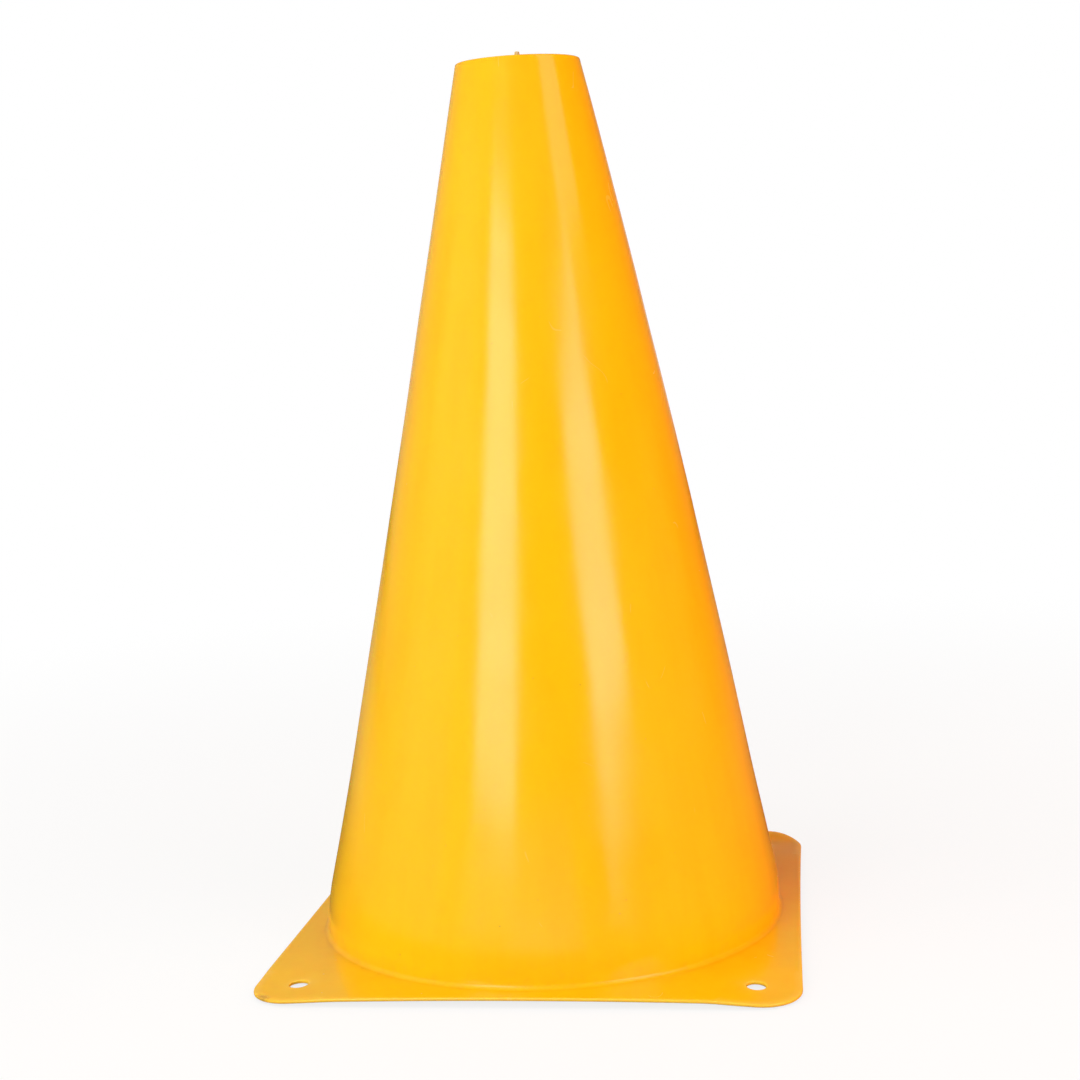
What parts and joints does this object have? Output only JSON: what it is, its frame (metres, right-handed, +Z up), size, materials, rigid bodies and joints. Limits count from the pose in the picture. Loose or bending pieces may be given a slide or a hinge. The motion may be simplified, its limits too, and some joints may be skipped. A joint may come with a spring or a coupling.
{
  "type": "traffic cone",
  "caption": "Small one-piece plastic marker cone: a thin tapered wall, closed at the crown, on a square flange with a peg hole in each corner.",
  "frame": {"origin": "on the cone's axis, in the plane that the flange's underside rests on", "axes": "+Z up along the cone's axis, from the flange to the crown; X and Y square to the flange's sides"},
  "size_m": [0.136, 0.136, 0.2326],
  "materials": {
    "yellow_plastic": "semi-gloss"
  },
  "bodies": {
    "root": {"crown": "yellow_plastic", "cone_wall": "yellow_plastic", "base_flange": "yellow_plastic"}
  },
  "joints": []
}
